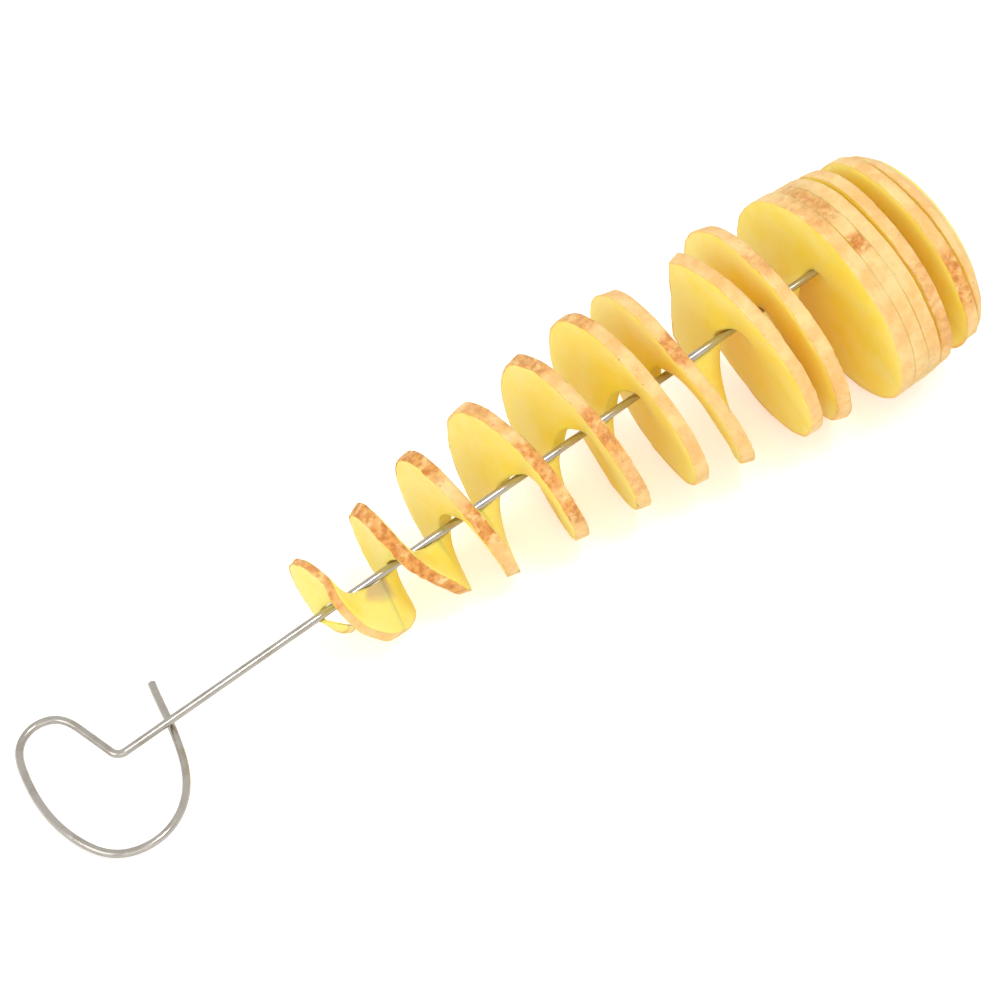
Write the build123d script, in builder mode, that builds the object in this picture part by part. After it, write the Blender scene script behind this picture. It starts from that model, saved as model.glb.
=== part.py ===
from build123d import *
import os
from math import ceil, cos, pi, radians, sin, sqrt, tan

# A wire skewer that lies on a table with a spiral cut potato drawn out along it.
# +X runs along the skewer towards its point, +Z is up and the table is at z = 0.
# "Place" is a distance along the shaft from the sharp bend beside the finger loop.
# "Turn" counts the spiral from its handle end. A whole number faces up and
# forward, a quarter more the low side, a half more the far side, and
# a quarter less the upper side.

# --- skewer, mm ---------------------------------------------------------------
wire_diameter = 2.0
shaft_rise = 9.2                # degrees, the shaft climbs towards its point
point_showing = 0.8             # what stands out of the potato's end
point_length = 5.0
point_tip_diameter = 0.5
bend_radius = 2.6               # at the wire's centre, between shaft and loop
neck_lean = 11.5                # degrees, the loop's first leg leans off square
neck_length = 13.0
loop_back = 21.6                # the loop's reach behind the bend
loop_left = 20.4                # the loop's reach on the neck's side
loop_right = 25.0               # the loop's reach on the other side
tail_crossing = 15.0            # the tail passes under the shaft here
tail_length = 13.8              # what stands out past that crossing
tail_gap = 0.5                  # clear space between the tail and the shaft

# --- potato spiral, mm --------------------------------------------------------
slice_thickness = 3.8
blade_kerf = 0.25               # what the blade takes between two slices
peel_thickness = 1.2            # the spiral starts as a thin peel
peel_turns = 1.6                # and reaches the full slice after this
skin_taper = 0.35               # of the next turn's growth shows across a slice
turn_gap = 0.3                  # clear space between two turns' solids
bore_clearance = 0.05           # tight hole through the end that stays whole
slack_clearance = 0.3           # the drawn out turns' hole, on its low side
crown = 2.8                     # the last slice bulges by this much
chip_distance = 19.2            # a chip is missing this far from the wire
chip_turn = 6.67
wedge_gap = 1.5                 # the block gapes here, widest on the upper side
end_gap = 5.1                   # and here, all round
block_place = 211.1             # handle side of the first slice of the block
upper_side = 32.7               # degrees up from +Y, where the upper side points

start_turn = -0.75
block_turn = 9                  # from this turn on the slices stay together
end_turn = 14.25
steps_per_turn = 24

# How far each turn is drawn out from the block towards the handle, at its
# far, upper, near and low side.
drawn_out = [
    (152.5, 149.6, 144.1, 136.9),
    (131.5, 130.6, 127.9, 120.6),
    (115.5, 113.2, 110.4, 107.8),
    (99.8, 95.3, 90.9, 88.4),
    (81.6, 76.9, 72.7, 71.0),
    (65.1, 60.3, 56.1, 54.9),
    (51.1, 48.1, 46.2, 42.9),
    (31.3, 29.7, 26.3, 23.9),
    (21.3, 18.7, 17.0, 16.1),
    (6.1, 1.1, 0.0, 0.0),
]

# How much wider the drawn out turns' hole is on its upper side: turn, then rise.
slack_rise = [
    (0.75, 0.0),
    (1.75, 1.8),
    (2.75, 0.3),
    (3.75, 2.2),
    (4.75, 2.4),
    (5.75, 2.0),
    (6.75, 0.3),
    (8.75, 0.3),
]

# How far the near rim of each turn leans towards the handle, from turn 1 on.
near_lean = [(1, 3.4), (2, 2.5), (3, 1.7), (4, 2.8), (5, 3.0), (6, 2.8), (7, 1.5), (8, 1.4), (9, 0.0)]

# The first part turn curls over: turn, then the lean of its rim.
curl = [
    (-0.75, -5.5),
    (-0.5, -1.8),
    (-0.25, 1.0),
    (-0.1, 2.5),
    (0, 6.0),
    (0.12, 7.6),
    (0.2, 5.4),
    (0.28, 1.0),
    (0.36, -2.0),
    (0.5, 0.0),
]

# How far the block's slices have sprung apart.
sprung = [
    (9, 0.0),
    (11.25, 0.0),
    (11.75, wedge_gap),
    (12.25, wedge_gap * 0.25),
    (12.75, end_gap),
    (14.25, end_gap),
]

# The potato's outline from turn -1 to 15: half width and its shift towards the
# upper side, then half depth and its shift away from the near side.
outline = [
    (2.4, 0.2, 3.6, 0.6),
    (15.4, 0.4, 12.0, 1.0),
    (15.0, 1.0, 14.0, 2.0),
    (19.5, 1.9, 18.8, 3.3),
    (20.9, 1.2, 20.3, 2.8),
    (23.3, 1.4, 22.5, 4.0),
    (25.8, 0.4, 23.5, 4.0),
    (26.4, -0.6, 24.0, 4.0),
    (27.4, -4.6, 25.0, 4.0),
    (28.8, -2.8, 27.5, 6.0),
    (29.5, -7.2, 29.0, 6.3),
    (29.5, -7.4, 29.0, 6.3),
    (29.4, -7.6, 28.6, 6.3),
    (28.8, -7.8, 27.8, 6.3),
    (28.1, -8.1, 27.2, 6.3),
    (27.0, -8.4, 26.2, 6.3),
    (25.8, -8.6, 24.6, 6.3),
]

# --- values worked out from the sizes above -------------------------------------
wire_radius = wire_diameter / 2
bore_radius = wire_radius + bore_clearance
slice_pitch = slice_thickness + blade_kerf
rise = radians(shaft_rise)
upper = radians(upper_side)
drawn_pairs = [
    (row - 0.5 + side / 4, reach)
    for row, reaches in enumerate(drawn_out)
    for side, reach in enumerate(reaches)
]
along = Vector(cos(rise), 0, sin(rise))
across = Vector(0, 1, 0)
lift = Vector(-sin(rise), 0, cos(rise))


def blend(pairs, turn):
    """A smooth curve through (turn, value) pairs that never swings past them."""
    turn = min(max(turn, pairs[0][0]), pairs[-1][0])
    low = max(i for i, pair in enumerate(pairs[:-1]) if pair[0] <= turn)
    steps = [
        (after[1] - before[1]) / (after[0] - before[0])
        for before, after in zip(pairs, pairs[1:])
    ]
    slopes = []
    for knot in (low, low + 1):
        before = steps[max(knot - 1, 0)]
        after = steps[min(knot, len(steps) - 1)]
        slopes.append(2 * before * after / (before + after) if before * after > 0 else 0.0)
    run = pairs[low + 1][0] - pairs[low][0]
    share = (turn - pairs[low][0]) / run
    climb = pairs[low + 1][1] - pairs[low][1]
    start, end = slopes[0] * run, slopes[1] * run
    return (
        pairs[low][1]
        + start * share
        + (3 * climb - 2 * start - end) * share**2
        + (start + end - 2 * climb) * share**3
    )


def hub_place(turn):
    """Where the slice's handle side meets the wire."""
    if turn < block_turn:
        return block_place - blend(drawn_pairs, turn)
    return block_place + (turn - block_turn) * slice_pitch + blend(sprung, turn)


def rim_lean(turn):
    """How far the skin side of the slice leans towards the handle."""
    if turn < curl[-1][0]:
        return blend(curl, turn)
    return blend(near_lean, turn) * ((1 + cos(2 * pi * turn)) / 2) ** 2


def skin_radius(turn):
    """From the wire to the skin, on the side that this turn count faces."""
    row = [blend([(i - 1, size[k]) for i, size in enumerate(outline)], turn) for k in range(4)]
    width, shift, depth, back = row
    sideways, forward = -sin(2 * pi * turn), cos(2 * pi * turn)
    a = (sideways / width) ** 2 + (forward / depth) ** 2
    b = forward * back / depth**2 - sideways * shift / width**2
    c = (shift / width) ** 2 + (back / depth) ** 2 - 1
    radius = (sqrt(b * b - a * c) - b) / a
    if abs(turn - chip_turn) < 0.2:
        radius = min(radius, chip_distance / cos(2 * pi * (turn - chip_turn)))
    return radius


def slice_thick(turn):
    """The spiral starts as a thin peel and thickens to the full slice."""
    share = min((turn - start_turn) / peel_turns, 1)
    return peel_thickness + (slice_thickness - peel_thickness) * share


def slack_hole(turn):
    """The drawn out turns sit slack on the wire, which lies on their low side."""
    rise = blend(slack_rise, turn) * (1 - sin(2 * pi * turn)) / 2
    return wire_radius + slack_clearance + rise


def skin_radius_behind(turn, skin):
    """The skin tapers with the potato from one side of the slice to the other."""
    growth = skin_radius(turn + 1) - skin
    return skin + growth * skin_taper * slice_thick(turn) / slice_thickness


def slice_corners(turn, hole, crowned):
    """The slice cut open on one side: (distance from the wire, place) corners."""
    place = hub_place(turn)
    rim = place - rim_lean(turn)
    thick = slice_thick(turn)
    skin = skin_radius(turn)
    corners = [(hole, place), (skin, rim)]
    if crowned:
        corners += [(skin * 0.98, rim + thick / 2), (skin * 0.88, rim + thick)]
        corners += [(skin * 0.5, rim + thick + crown * 0.8)]
        corners += [(hole, place + thick + crown)]
    else:
        corners += [(skin_radius_behind(turn, skin), rim + thick), (hole, place + thick)]
    return corners


def turn_sections(first, last, drilled=False, crowned=False):
    """Planes through the wire's centre, each with the slice's corners on it.

    A drilled slice starts inside its bore, which is cut after the loft.
    """
    count = ceil((last - first) * steps_per_turn)
    for index in range(count + 1):
        turn = first + (last - first) * index / count
        angle = upper + pi / 2 + 2 * pi * turn
        outward = across * cos(angle) + lift * sin(angle)
        onward = lift * cos(angle) - across * sin(angle)
        inset = turn_gap / 2 * ((index == 0) - (index == count))
        plane = Plane(origin=bend + onward * inset, x_dir=outward, z_dir=-onward)
        hole = wire_radius / 2 if drilled else slack_hole(turn)
        yield plane, slice_corners(turn, hole, crowned)


def shaft_plane(place):
    """Square across the shaft."""
    return Plane(origin=bend + along * place, x_dir=across, z_dir=along)


def wire_point(ahead, side, above=0):
    """A point given from the bend: ahead along the shaft, to its side, above its plane."""
    return bend + along * ahead + across * side + lift * above


# The origin is on the table, under the middle of the whole object.
shaft_length = hub_place(end_turn) + slice_thickness + crown + point_showing
widest = outline[block_turn + 1]
bend = Vector(
    (loop_back + wire_radius - shaft_length) / 2 * cos(rise),
    -widest[1] * cos(upper) - widest[3] * sin(upper),
    wire_radius + loop_back * sin(rise),
)

os.makedirs("parts", exist_ok=True)

# --- skewer: one bent wire --------------------------------------------------------
# The loop lies in the plane of the shaft and sinks below it towards the tail.
neck = radians(neck_lean)
bend_turn = pi / 2 - neck
bend_leg = bend_radius * tan(bend_turn / 2)
neck_start = (-bend_leg * sin(neck), bend_leg * cos(neck))
neck_end = (-neck_length * sin(neck), neck_length * cos(neck))
tail_drop = wire_diameter + tail_gap

with BuildPart() as skewer:
    with BuildLine() as wire_path:
        Line(wire_point(shaft_length - point_length, 0), wire_point(bend_leg, 0))
        TangentArc(wire_point(bend_leg, 0), wire_point(*neck_start), tangent=-along)
        Line(wire_point(*neck_start), wire_point(*neck_end))
        Spline(
            wire_point(*neck_end),
            wire_point(-loop_back * 0.25, loop_left * 0.91),
            wire_point(-loop_back * 0.48, loop_left),
            wire_point(-loop_back * 0.74, loop_left * 0.89),
            wire_point(-loop_back * 0.91, loop_left * 0.53),
            wire_point(-loop_back, -loop_right * 0.10),
            wire_point(-loop_back * 0.93, -loop_right * 0.53),
            wire_point(-loop_back * 0.70, -loop_right * 0.88),
            wire_point(-loop_back * 0.22, -loop_right),
            wire_point(tail_crossing * 0.40, -loop_right * 0.77, -tail_drop * 0.3),
            wire_point(tail_crossing * 0.83, -loop_right * 0.32, -tail_drop * 0.8),
            wire_point(tail_crossing, 0, -tail_drop),
            wire_point(tail_crossing + tail_length * 0.25, tail_length * 0.97, -tail_drop * 1.1),
            tangents=[across * cos(neck) - along * sin(neck), across + along * 0.3],
            tangent_scalars=[1, 1],
        )
    with BuildSketch(shaft_plane(shaft_length - point_length)):
        Circle(wire_radius)
    sweep(path=wire_path.wires()[0])
    with BuildSketch(shaft_plane(shaft_length - point_length)):
        Circle(wire_radius)
    with BuildSketch(shaft_plane(shaft_length)):
        Circle(point_tip_diameter / 2)
    loft()
skewer.part.label = "skewer"
export_step(skewer.part, "parts/skewer.step")

# --- drawn out turns: each ends on the low side, where the next one starts --------------
for turn in range(block_turn):
    first = max(start_turn, turn - 0.75)
    with BuildPart() as drawn_turn:
        for plane, corners in turn_sections(first, turn + 0.25):
            with BuildSketch(plane):
                with BuildLine():
                    Polyline(*corners, close=True)
                make_face()
        loft(ruled=True)
    drawn_turn.part.label = f"spiral_turn_{turn + 1}"
    export_step(drawn_turn.part, f"parts/{drawn_turn.part.label}.step")

# --- block: the slices that have not been drawn out, on a tight bore --------------------
block_count = int(end_turn - block_turn) + 1
for number in range(block_count):
    turn = block_turn + number
    last = turn + 0.25
    crowned = last == end_turn
    with BuildPart() as block_slice:
        for plane, corners in turn_sections(turn - 0.75, last, True, crowned):
            with BuildSketch(plane):
                with BuildLine():
                    Polyline(*corners, close=True)
                make_face()
        loft(ruled=True)
        with BuildSketch(shaft_plane(0)):
            Circle(bore_radius)
        extrude(amount=shaft_length * 1.1, mode=Mode.SUBTRACT)
    block_slice.part.label = "end_slice" if crowned else f"block_slice_{number + 1}"
    export_step(block_slice.part, f"parts/{block_slice.part.label}.step")
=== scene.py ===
from math import cos, pi, radians, sin, sqrt

import bmesh
import bpy
from mathutils import Matrix, Vector, noise
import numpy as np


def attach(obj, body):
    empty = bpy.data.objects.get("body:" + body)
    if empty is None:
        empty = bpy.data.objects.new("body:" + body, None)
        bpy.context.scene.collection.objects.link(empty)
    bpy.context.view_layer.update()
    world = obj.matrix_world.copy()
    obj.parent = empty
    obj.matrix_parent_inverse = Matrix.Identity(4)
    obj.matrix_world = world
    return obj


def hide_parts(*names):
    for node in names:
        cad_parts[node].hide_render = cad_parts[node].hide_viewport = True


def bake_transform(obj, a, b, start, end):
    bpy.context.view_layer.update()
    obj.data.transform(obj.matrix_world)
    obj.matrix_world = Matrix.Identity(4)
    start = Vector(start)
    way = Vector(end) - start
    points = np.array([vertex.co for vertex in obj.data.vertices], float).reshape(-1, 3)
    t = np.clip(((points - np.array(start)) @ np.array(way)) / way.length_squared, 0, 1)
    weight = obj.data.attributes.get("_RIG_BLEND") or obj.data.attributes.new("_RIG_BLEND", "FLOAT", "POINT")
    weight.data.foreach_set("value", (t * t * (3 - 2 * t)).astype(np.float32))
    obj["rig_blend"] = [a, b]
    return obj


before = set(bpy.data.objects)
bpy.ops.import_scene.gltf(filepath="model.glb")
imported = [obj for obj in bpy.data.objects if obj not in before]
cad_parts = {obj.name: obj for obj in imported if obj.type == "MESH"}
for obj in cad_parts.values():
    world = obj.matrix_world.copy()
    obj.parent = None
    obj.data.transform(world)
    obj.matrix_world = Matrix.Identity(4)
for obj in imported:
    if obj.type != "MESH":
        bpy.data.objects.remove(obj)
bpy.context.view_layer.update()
mm = 0.001

# --- skewer -----------------------------------------------------------------------------
# One 2 mm stainless wire, drawn and polished, bent into a finger loop at one end and
# ground to a point at the other. Its solid already has the true shape, so only its
# finish is made here: warm grey steel with fine draw lines and a few dull smears.
wire_radius = 1.0
shaft_rise = radians(9.2)
loop_back = 21.6
steel_colour = (0.52, 0.49, 0.45, 1)
steel_dull = (0.4, 0.36, 0.31, 1)

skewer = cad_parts["skewer"]
steel = bpy.data.materials.new("drawn_steel")
steel.use_nodes = True
tree = steel.node_tree
steel_shader = tree.nodes["Principled BSDF"]
steel_shader.inputs["Metallic"].default_value = 1.0
steel_place = tree.nodes.new("ShaderNodeTexCoord")
draw_lines = tree.nodes.new("ShaderNodeMapping")
draw_lines.inputs["Rotation"].default_value = (0, shaft_rise, 0)
draw_lines.inputs["Scale"].default_value = (60, 2600, 2600)
draw_noise = tree.nodes.new("ShaderNodeTexNoise")
draw_noise.inputs["Scale"].default_value = 1.0
draw_noise.inputs["Detail"].default_value = 3.0
smear_noise = tree.nodes.new("ShaderNodeTexNoise")
smear_noise.inputs["Scale"].default_value = 220.0
smear_noise.inputs["Detail"].default_value = 4.0
smear = tree.nodes.new("ShaderNodeMapRange")
smear.inputs["From Min"].default_value = 0.45
smear.inputs["From Max"].default_value = 0.75
steel_mix = tree.nodes.new("ShaderNodeMix")
steel_mix.data_type = "RGBA"
steel_mix.inputs["A"].default_value = steel_colour
steel_mix.inputs["B"].default_value = steel_dull
steel_rough = tree.nodes.new("ShaderNodeMapRange")
steel_rough.inputs["To Min"].default_value = 0.14
steel_rough.inputs["To Max"].default_value = 0.3
steel_bump = tree.nodes.new("ShaderNodeBump")
steel_bump.inputs["Strength"].default_value = 0.06
steel_bump.inputs["Distance"].default_value = 0.05 * mm
tree.links.new(steel_place.outputs["Object"], draw_lines.inputs["Vector"])
tree.links.new(draw_lines.outputs["Vector"], draw_noise.inputs["Vector"])
tree.links.new(steel_place.outputs["Object"], smear_noise.inputs["Vector"])
tree.links.new(smear_noise.outputs["Fac"], smear.inputs["Value"])
tree.links.new(smear.outputs["Result"], steel_mix.inputs["Factor"])
tree.links.new(steel_mix.outputs["Result"], steel_shader.inputs["Base Color"])
tree.links.new(draw_noise.outputs["Fac"], steel_rough.inputs["Value"])
tree.links.new(steel_rough.outputs["Result"], steel_shader.inputs["Roughness"])
tree.links.new(draw_noise.outputs["Fac"], steel_bump.inputs["Height"])
tree.links.new(steel_bump.outputs["Normal"], steel_shader.inputs["Normal"])
skewer.data.materials.clear()
skewer.data.materials.append(steel)

# --- the potato's shape --------------------------------------------------------------------
# The potato is one spiral slice round the wire. A point of it is given by its turn along
# the spiral, its share of the way from the wire to the skin, and its side, from the face
# towards the handle to the face towards the point. A whole turn faces up and forward, a
# quarter more the low side, a half more the far side, a quarter less the upper side.
slice_thickness = 3.8
blade_kerf = 0.25
peel_thickness = 1.2
peel_turns = 1.6
skin_taper = 0.35
slack_clearance = 0.3
crown = 2.8
chip_distance = 19.2
chip_turn = 6.67
chip_half = 0.2
wedge_gap = 1.5
end_gap = 5.1
block_place = 211.1
upper = radians(32.7)
start_turn = -0.75
block_turn = 9
end_turn = 14.25

# How far each turn is drawn out from the block, at its far, upper, near and low side.
drawn_out = [
    (152.5, 149.6, 144.1, 136.9),
    (131.5, 130.6, 127.9, 120.6),
    (115.5, 113.2, 110.4, 107.8),
    (99.8, 95.3, 90.9, 88.4),
    (81.6, 76.9, 72.7, 71.0),
    (65.1, 60.3, 56.1, 54.9),
    (51.1, 48.1, 46.2, 42.9),
    (31.3, 29.7, 26.3, 23.9),
    (21.3, 18.7, 17.0, 16.1),
    (6.1, 1.1, 0.0, 0.0),
]
drawn_pairs = [
    (row - 0.5 + side / 4, reach)
    for row, reaches in enumerate(drawn_out)
    for side, reach in enumerate(reaches)
]

# How much wider the drawn out turns' hole is on its upper side.
slack_rise = [
    (0.75, 0.0),
    (1.75, 1.8),
    (2.75, 0.3),
    (3.75, 2.2),
    (4.75, 2.4),
    (5.75, 2.0),
    (6.75, 0.3),
    (8.75, 0.3),
]

# How far the near rim of each turn leans towards the handle, and the first part turn's curl.
near_lean = [(1, 3.4), (2, 2.5), (3, 1.7), (4, 2.8), (5, 3.0), (6, 2.8), (7, 1.5), (8, 1.4), (9, 0.0)]
curl = [
    (-0.75, -5.5),
    (-0.5, -1.8),
    (-0.25, 1.0),
    (-0.1, 2.5),
    (0, 6.0),
    (0.12, 7.6),
    (0.2, 5.4),
    (0.28, 1.0),
    (0.36, -2.0),
    (0.5, 0.0),
]

# How far the block's slices have sprung apart.
sprung = [
    (9, 0.0),
    (11.25, 0.0),
    (11.75, wedge_gap),
    (12.25, wedge_gap * 0.25),
    (12.75, end_gap),
    (14.25, end_gap),
]

# The outline from turn -1 on: half width and its shift, half depth and its shift.
outline = [
    (2.4, 0.2, 3.6, 0.6),
    (15.4, 0.4, 12.0, 1.0),
    (15.0, 1.0, 14.0, 2.0),
    (19.5, 1.9, 18.8, 3.3),
    (20.9, 1.2, 20.3, 2.8),
    (23.3, 1.4, 22.5, 4.0),
    (25.8, 0.4, 23.5, 4.0),
    (26.4, -0.6, 24.0, 4.0),
    (27.4, -4.6, 25.0, 4.0),
    (28.8, -2.8, 27.5, 6.0),
    (29.5, -7.2, 29.0, 6.3),
    (29.5, -7.4, 29.0, 6.3),
    (29.4, -7.6, 28.6, 6.3),
    (28.8, -7.8, 27.8, 6.3),
    (28.1, -8.1, 27.2, 6.3),
    (27.0, -8.4, 26.2, 6.3),
    (25.8, -8.6, 24.6, 6.3),
]
outline_pairs = [[(i - 1, size[k]) for i, size in enumerate(outline)] for k in range(4)]

along = Vector((cos(shaft_rise), 0, sin(shaft_rise)))
across = Vector((0, 1, 0))
lift = Vector((-sin(shaft_rise), 0, cos(shaft_rise)))


def smooth_pairs(pairs, turn):
    """A smooth curve through (turn, value) pairs that never swings past them."""
    turn = min(max(turn, pairs[0][0]), pairs[-1][0])
    low = max(i for i, pair in enumerate(pairs[:-1]) if pair[0] <= turn)
    steps = [(b[1] - a[1]) / (b[0] - a[0]) for a, b in zip(pairs, pairs[1:])]
    slopes = []
    for knot in (low, low + 1):
        before = steps[max(knot - 1, 0)]
        after = steps[min(knot, len(steps) - 1)]
        slopes.append(2 * before * after / (before + after) if before * after > 0 else 0.0)
    run = pairs[low + 1][0] - pairs[low][0]
    share = (turn - pairs[low][0]) / run
    climb = pairs[low + 1][1] - pairs[low][1]
    start, end = slopes[0] * run, slopes[1] * run
    return (
        pairs[low][1]
        + start * share
        + (3 * climb - 2 * start - end) * share**2
        + (start + end - 2 * climb) * share**3
    )


def ease(low, high, value):
    """0 at low, 1 at high and smooth in between."""
    t = min(max((value - low) / (high - low), 0), 1)
    return t * t * (3 - 2 * t)


def hub_place(turn):
    if turn < block_turn:
        return block_place - smooth_pairs(drawn_pairs, turn)
    pitch = slice_thickness + blade_kerf
    return block_place + (turn - block_turn) * pitch + smooth_pairs(sprung, turn)


def rim_lean(turn):
    if turn < curl[-1][0]:
        return smooth_pairs(curl, turn)
    return smooth_pairs(near_lean, turn) * ((1 + cos(2 * pi * turn)) / 2) ** 2


def skin_radius(turn):
    width, shift, depth, back = (smooth_pairs(pairs, turn) for pairs in outline_pairs)
    sideways, forward = -sin(2 * pi * turn), cos(2 * pi * turn)
    a = (sideways / width) ** 2 + (forward / depth) ** 2
    b = forward * back / depth**2 - sideways * shift / width**2
    c = (shift / width) ** 2 + (back / depth) ** 2 - 1
    radius = (sqrt(b * b - a * c) - b) / a
    if abs(turn - chip_turn) < chip_half:
        radius = min(radius, chip_distance / cos(2 * pi * (turn - chip_turn)))
    return radius


def slice_thick(turn):
    share = min((turn - start_turn) / peel_turns, 1)
    return peel_thickness + (slice_thickness - peel_thickness) * share


end_hub = hub_place(end_turn)
point_showing = 0.8
shaft_length = end_hub + slice_thickness + crown + point_showing
widest = outline[block_turn + 1]
bend = Vector(
    (
        (loop_back + wire_radius - shaft_length) / 2 * cos(shaft_rise),
        -widest[1] * cos(upper) - widest[3] * sin(upper),
        wire_radius + loop_back * sin(shaft_rise),
    )
)

# --- potato slices -----------------------------------------------------------------------------
# Raw potato, cut by a blade that circled the wire. Each slice is a straight strip, bent
# round the wire: the cut faces are wavy and wet, the rim is the potato's own skin, scrubbed
# thin, with an uneven outline and slightly torn edges. The first slices of the block are
# still pressed together, so their edges hardly show.
share_rows = [0, 0.03, 0.1, 0.2, 0.32, 0.44, 0.56, 0.68, 0.79, 0.88, 0.94, 0.975, 1]
side_rows = [0, 0.07, 0.28, 0.5, 0.72, 0.93, 1]
steps_per_turn = 120
edge_round = 0.22
skin_bumps = ((7.0, 0.35), (2.3, 0.14))
face_waves = ((14.0, 0.3), (4.0, 0.07))
torn_edge = 0.3
torn_size = 1.7
edge_share = 0.07
rim_share = 0.9
crown_round = 0.12
# Painted shadow of the wire: a grey-tan patch on the first turn's face towards the point, beside the wire.
wire_shadow_turn = 0.19
wire_shadow_share = 0.45
wire_shadow_edge = (0.11, 0.07)
pressed_until = 11.3
pressed_edge = 0.25
pressed_kerf = 0.8
bore_clearance = 0.05


def bumps(point, sizes):
    return sum(height * noise.noise(point / size) for size, height in sizes)


def potato_point(turn, share, side, crowned):
    """Where a point of the spiral is, in mm."""
    angle = upper + pi / 2 + 2 * pi * turn
    outward = across * cos(angle) + lift * sin(angle)
    thick = slice_thick(turn)
    skin = skin_radius(turn)
    place = hub_place(turn) - rim_lean(turn) * share + thick * side
    if turn < block_turn - 0.75:
        slack = smooth_pairs(slack_rise, turn) * (1 - sin(2 * pi * turn)) / 2
        hole = wire_radius + slack_clearance + slack
    else:
        hole = wire_radius + bore_clearance
    if crowned:
        reach = skin * (1 - crown_round * side**2)
        place += crown * side * sqrt(max(1 - share**2, 0))
    else:
        growth = skin_radius(turn + 1) - skin
        reach = skin + growth * skin_taper * thick / slice_thickness * side
    radius = hole + (reach - hole) * share
    rough = bend + along * place + outward * radius
    rim = ease(rim_share, 1.0, share)
    corner = max(1 - side / edge_share, 1 - (1 - side) / edge_share, 0)
    if block_turn - 0.5 < turn < pressed_until:
        corner *= pressed_edge
        place += blade_kerf * pressed_kerf * side
    radius += rim * (bumps(rough, skin_bumps) - edge_round * corner)
    inward = 1 if side < 0.5 else -1
    ragged = torn_edge * noise.noise(rough / torn_size) * corner
    place += bumps(rough + Vector((0, 0, 50.0 * side)), face_waves) * ease(0.05, 0.4, share)
    place += rim * corner * (edge_round * inward + ragged)
    return bend + along * place + outward * radius


def wire_shadow(turn, share, side):
    """How much painted shadow of the wire greys a spot of the first turn, beside the wire."""
    near = ease(*wire_shadow_edge, abs(turn - wire_shadow_turn)) if side > 0.5 else 0
    return near * ease(wire_shadow_share, wire_shadow_share * 0.5, share)


def strip_edges(bm, axis):
    """The edges of the straight strip that run along one axis."""
    return [e for e in bm.edges if abs((e.verts[1].co - e.verts[0].co).normalized()[axis]) > 0.9]


def spiral_piece(name, first, last, crowned=False):
    """One slice: a strip, cut into a grid, then bent round the wire."""
    bm = bmesh.new()
    bmesh.ops.create_cube(bm, size=1.0)
    steps = max(int((last - first) * steps_per_turn), 8)
    for axis, cuts in ((0, steps - 1), (1, len(share_rows) - 2), (2, len(side_rows) - 2)):
        bmesh.ops.subdivide_edges(bm, edges=strip_edges(bm, axis), cuts=cuts, use_grid_fill=True)
    turn_layer = bm.verts.layers.float.new("turn")
    rind_layer = bm.verts.layers.float.new("rind")
    wire_shadow_layer = bm.verts.layers.float.new("wire_shadow")
    for edge in bm.edges:
        if all(abs(abs(v.co.x) - 0.5) < 1e-5 for v in edge.verts) and edge.is_manifold:
            edge.smooth = all(abs(face.normal.x) > 0.9 for face in edge.link_faces)
    for vert in bm.verts:
        turn = first + (last - first) * (vert.co.x + 0.5)
        share = share_rows[round((vert.co.y + 0.5) * (len(share_rows) - 1))]
        side = side_rows[round((vert.co.z + 0.5) * (len(side_rows) - 1))]
        vert[turn_layer] = turn
        vert[rind_layer] = 1.0 if share == 1 else 0.0
        vert[wire_shadow_layer] = wire_shadow(turn, share, side)
        vert.co = potato_point(turn, share, side, crowned) * mm
    bmesh.ops.recalc_face_normals(bm, faces=bm.faces)
    mesh = bpy.data.meshes.new(name)
    bm.to_mesh(mesh)
    bm.free()
    for face in mesh.polygons:
        face.use_smooth = True
    piece = bpy.data.objects.new(name, mesh)
    bpy.context.scene.collection.objects.link(piece)
    return piece


turns = []
for turn in range(block_turn):
    piece = spiral_piece(f"potato_turn_{turn + 1}", max(start_turn, turn - 0.75), turn + 0.25)
    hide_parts(f"spiral_turn_{turn + 1}")
    turns.append(piece)

slices = []
for number in range(int(end_turn - block_turn) + 1):
    turn = block_turn + number
    crowned = turn + 0.25 == end_turn
    name = "potato_end" if crowned else f"potato_slice_{number + 1}"
    piece = spiral_piece(name, turn - 0.75, turn + 0.25, crowned)
    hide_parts("end_slice" if crowned else f"block_slice_{number + 1}")
    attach(piece, "potato_block")
    slices.append(piece)

# The ribbon is one piece, so each turn passes smoothly from its own body to the next:
# the share of the next body grows with the turn along the ribbon.
for turn, piece in enumerate(turns):
    last_turn = turn == block_turn - 1
    next_body = "potato_block" if last_turn else f"turn_{turn + 2}"
    start = (bend + along * hub_place(turn - 0.75)) * mm
    end = (bend + along * hub_place(turn + 0.25)) * mm
    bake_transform(piece, f"turn_{turn + 1}", next_body, start=start, end=end)
    shares = piece.data.attributes["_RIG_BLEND"].data
    for i, value in enumerate(piece.data.attributes["turn"].data):
        shares[i].value = min(max(value.value - (turn - 0.75), 0), 1)

# --- potato's finish -------------------------------------------------------------------------
# Flesh: waxy pale yellow, wet with starch, a little deeper in soft random spots. Skin: thin,
# scrubbed, tan with brown patches and dark specks. Light goes a few millimetres in.
flesh_pale = (0.97, 0.83, 0.25, 1)
flesh_deep = (0.97, 0.79, 0.12, 1)
# painted shadow of the wire, a grey-tan flesh colour used beside the wire on the first turn
flesh_wire_shadow = (0.66, 0.52, 0.27, 1)
skin_pale = (0.93, 0.68, 0.31, 1)
skin_tan = (0.88, 0.52, 0.19, 1)
russet_light = (0.8, 0.4, 0.1, 1)
russet_dark = (0.58, 0.2, 0.04, 1)
speck_brown = (0.3, 0.1, 0.03, 1)


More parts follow.
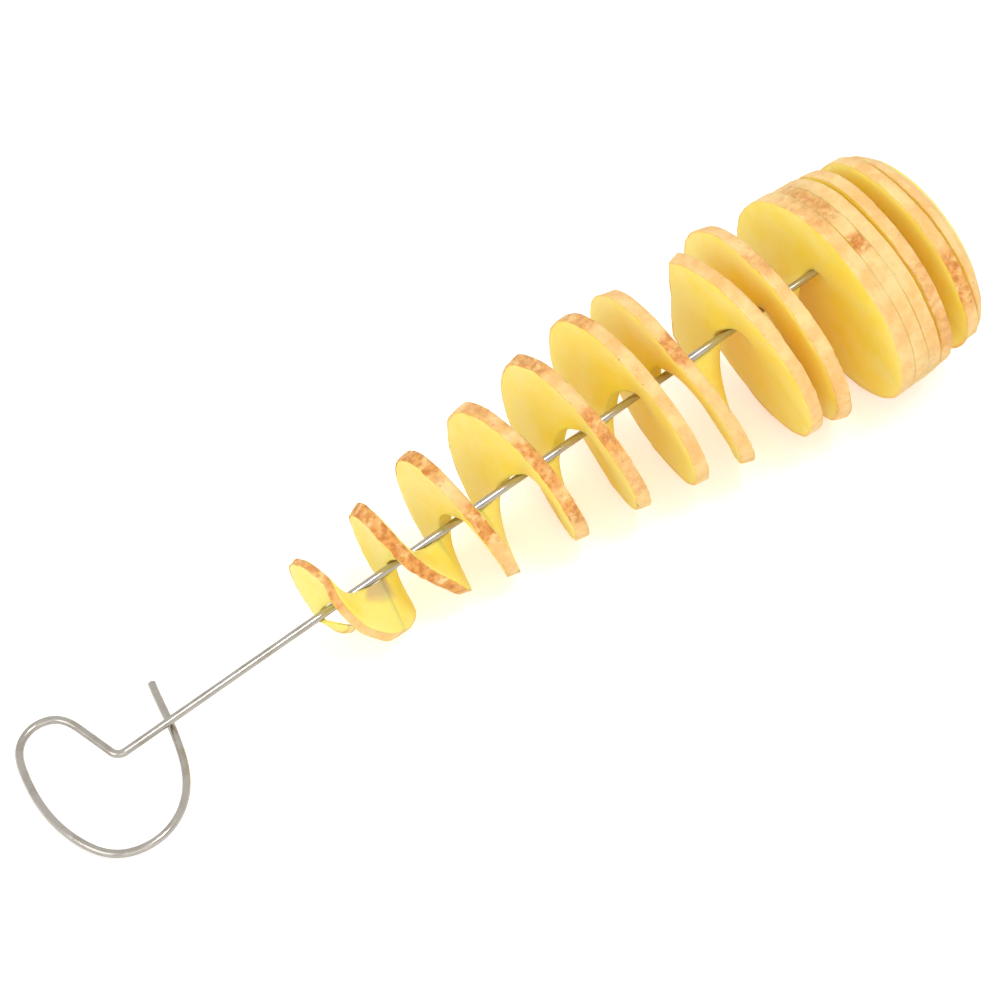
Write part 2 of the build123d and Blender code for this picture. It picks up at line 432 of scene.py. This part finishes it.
def shader_group(name, inputs, outputs):
    group = bpy.data.node_groups.new(name, "ShaderNodeTree")
    for label, kind in inputs:
        group.interface.new_socket(label, in_out="INPUT", socket_type=kind)
    for label, kind in outputs:
        group.interface.new_socket(label, in_out="OUTPUT", socket_type=kind)
    entry = group.nodes.new("NodeGroupInput")
    leave = group.nodes.new("NodeGroupOutput")
    return group, entry, leave


def spots(group, entry, leave):
    """A mask of noise spots: Size in 1/m, Level and Softness set how many and how soft."""
    place = group.nodes.new("ShaderNodeTexCoord")
    cloud = group.nodes.new("ShaderNodeTexNoise")
    cloud.inputs["Detail"].default_value = 4.0
    cloud.inputs["Roughness"].default_value = 0.6
    top = group.nodes.new("ShaderNodeMath")
    top.operation = "ADD"
    cut = group.nodes.new("ShaderNodeMapRange")
    cut.interpolation_type = "SMOOTHSTEP"
    group.links.new(place.outputs["Object"], cloud.inputs["Vector"])
    group.links.new(entry.outputs["Size"], cloud.inputs["Scale"])
    group.links.new(cloud.outputs["Fac"], cut.inputs["Value"])
    group.links.new(entry.outputs["Level"], cut.inputs["From Min"])
    group.links.new(entry.outputs["Level"], top.inputs[0])
    group.links.new(entry.outputs["Softness"], top.inputs[1])
    group.links.new(top.outputs["Value"], cut.inputs["From Max"])
    group.links.new(cut.outputs["Result"], leave.inputs["Mask"])


spot_group, spot_in, spot_out = shader_group(
    "potato_spots",
    [("Size", "NodeSocketFloat"), ("Level", "NodeSocketFloat"), ("Softness", "NodeSocketFloat")],
    [("Mask", "NodeSocketFloat")],
)
spots(spot_group, spot_in, spot_out)

potato = bpy.data.materials.new("raw_potato")
potato.use_nodes = True
tree = potato.node_tree
potato_shader = tree.nodes["Principled BSDF"]
potato_shader.inputs["Subsurface Weight"].default_value = 0.4
potato_shader.inputs["Subsurface Radius"].default_value = (1.0, 0.5, 0.1)
potato_shader.inputs["Subsurface Scale"].default_value = 3.0 * mm
potato_shader.inputs["IOR"].default_value = 1.4
potato_shader.inputs["Specular IOR Level"].default_value = 0.45


def spot_mask(size, level, softness):
    node = tree.nodes.new("ShaderNodeGroup")
    node.node_tree = spot_group
    node.inputs["Size"].default_value = size
    node.inputs["Level"].default_value = level
    node.inputs["Softness"].default_value = softness
    return node.outputs["Mask"]


def colour_mix(factor, a, b):
    """A colour between a and b, each a colour or another node's output."""
    node = tree.nodes.new("ShaderNodeMix")
    node.data_type = "RGBA"
    tree.links.new(factor, node.inputs["Factor"])
    for socket, value in (("A", a), ("B", b)):
        if isinstance(value, tuple):
            node.inputs[socket].default_value = value
        else:
            tree.links.new(value, node.inputs[socket])
    return node.outputs["Result"]


def times(a, b):
    node = tree.nodes.new("ShaderNodeMath")
    node.operation = "MULTIPLY"
    for socket, value in zip(node.inputs, (a, b)):
        if isinstance(value, float):
            socket.default_value = value
        else:
            tree.links.new(value, socket)
    return node.outputs["Value"]


def painted(name):
    node = tree.nodes.new("ShaderNodeAttribute")
    node.attribute_name = name
    return node.outputs["Fac"]


rind = painted("rind")
russet = painted("russet")
flesh = colour_mix(spot_mask(90.0, 0.35, 0.35), flesh_pale, flesh_deep)
# painted shadow of the wire greys the flesh beside it on the first turn
flesh = colour_mix(painted("wire_shadow"), flesh, flesh_wire_shadow)
skin = colour_mix(spot_mask(150.0, 0.3, 0.4), skin_pale, skin_tan)
brown = colour_mix(spot_mask(600.0, 0.35, 0.3), russet_light, russet_dark)
skin = colour_mix(times(russet, spot_mask(330.0, 0.3, 0.22)), skin, brown)
skin = colour_mix(times(spot_mask(1300.0, 0.66, 0.05), 0.7), skin, speck_brown)
tree.links.new(colour_mix(rind, flesh, skin), potato_shader.inputs["Base Color"])
wet = tree.nodes.new("ShaderNodeMapRange")
wet.inputs["To Min"].default_value = 0.36
wet.inputs["To Max"].default_value = 0.62
tree.links.new(rind, wet.inputs["Value"])
tree.links.new(wet.outputs["Result"], potato_shader.inputs["Roughness"])
grain = tree.nodes.new("ShaderNodeBump")
grain.inputs["Strength"].default_value = 0.35
grain.inputs["Distance"].default_value = 0.12 * mm
tree.links.new(spot_mask(900.0, 0.3, 0.4), grain.inputs["Height"])
tree.links.new(grain.outputs["Normal"], potato_shader.inputs["Normal"])

# Where the scrubbed skin stayed brown: middle turn, half length in turns, strength.
russet_patches = [
    (-0.12, 0.16, 0.8),
    (0.98, 0.3, 1.0),
    (1.76, 0.14, 1.0),
    (2.04, 0.06, 1.0),
    (2.84, 0.07, 0.6),
    (3.0, 0.07, 0.9),
    (3.13, 0.05, 0.9),
    (3.79, 0.07, 0.8),
    (4.02, 0.06, 0.9),
    (4.14, 0.06, 0.4),
    (4.79, 0.05, 0.7),
    (5.97, 0.04, 0.8),
    (7.92, 0.04, 0.5),
    (8.87, 0.08, 0.4),
    (9.85, 0.09, 0.7),
    (10.0, 0.02, 1.0),
    (12.15, 0.08, 0.5),
    (13.14, 0.05, 0.9),
]
russet_everywhere = 0.06
for piece in turns + slices:
    piece.data.materials.append(potato)
    russet_values = piece.data.attributes.new("russet", "FLOAT", "POINT").data
    for i, value in enumerate(piece.data.attributes["turn"].data):
        strength = russet_everywhere
        for middle, half, most in russet_patches:
            apart = abs(value.value - middle)
            strength = max(strength, most * ease(half * 1.2, half * 0.7, apart))
        russet_values[i].value = strength

# --- table, lights and camera -------------------------------------------------------------------
# A white table under soft daylight lamps. The camera looks down on the skewer from the
# handle's side, from 1.2 m.
bm = bmesh.new()
bmesh.ops.create_grid(bm, x_segments=1, y_segments=1, size=3.0)
floor_mesh = bpy.data.meshes.new("table_top")
bm.to_mesh(floor_mesh)
bm.free()
floor = bpy.data.objects.new("table_top", floor_mesh)
bpy.context.scene.collection.objects.link(floor)
white = bpy.data.materials.new("white_table")
white.use_nodes = True
tree = white.node_tree
white_shader = tree.nodes["Principled BSDF"]
white_shader.inputs["Base Color"].default_value = (0.93, 0.92, 0.9, 1)
white_shader.inputs["Roughness"].default_value = 0.8
white_shader.inputs["Emission Color"].default_value = (1, 1, 1, 1)
seen = tree.nodes.new("ShaderNodeLightPath")
glow = tree.nodes.new("ShaderNodeMath")
glow.operation = "MULTIPLY"
glow.inputs[1].default_value = 0.36
tree.links.new(seen.outputs["Is Camera Ray"], glow.inputs[0])
tree.links.new(glow.outputs["Value"], white_shader.inputs["Emission Strength"])
floor_mesh.materials.append(white)

world = bpy.data.worlds.new("soft_studio")
bpy.context.scene.world = world
world.use_nodes = True
world.node_tree.nodes["Background"].inputs["Color"].default_value = (1, 0.99, 0.97, 1)
world.node_tree.nodes["Background"].inputs["Strength"].default_value = 0.85


def soft_lamp(name, place, size, power):
    lamp = bpy.data.lights.new(name, "AREA")
    lamp.size = size
    lamp.energy = power
    holder = bpy.data.objects.new(name, lamp)
    holder.location = place
    holder.rotation_mode = "QUATERNION"
    holder.rotation_quaternion = (-Vector(place)).to_track_quat("-Z", "Y")
    bpy.context.scene.collection.objects.link(holder)


soft_lamp("key_lamp", (-2.2, 0.0, 1.3), 1.6, 12.5)
soft_lamp("fill_lamp", (-1.0, -2.0, 1.2), 2.0, 7.0)
soft_lamp("top_lamp", (0.25, -0.7, 2.3), 0.6, 12.0)

camera_distance = 1200.0
camera_elevation = radians(49.5)
camera_heading = radians(53.36)
pixels_per_mm = 4.25
image_pixels = 1001
centre_right = 90.0
centre_up = 60.3

look = Vector(
    (
        cos(camera_heading) * cos(camera_elevation),
        sin(camera_heading) * cos(camera_elevation),
        -sin(camera_elevation),
    )
)
right = Vector((sin(camera_heading), -cos(camera_heading), 0))
up = right.cross(look)
camera = bpy.data.cameras.new("camera")
camera.sensor_width = 36.0
camera.lens = pixels_per_mm * camera_distance / image_pixels * camera.sensor_width
camera.clip_start = 0.01
holder = bpy.data.objects.new("camera", camera)
aim = bend + right * centre_right + up * centre_up
holder.location = (aim - look * camera_distance) * mm
holder.rotation_mode = "QUATERNION"
holder.rotation_quaternion = Matrix((right, up, -look)).transposed().to_quaternion()
bpy.context.scene.collection.objects.link(holder)
bpy.context.scene.camera = holder
bpy.context.scene.view_settings.view_transform = "Standard"

# Light goes to and fro many times between the pale slices before it comes out.
light_bounces = 24
bpy.context.scene.cycles.max_bounces = light_bounces
bpy.context.scene.cycles.diffuse_bounces = light_bounces
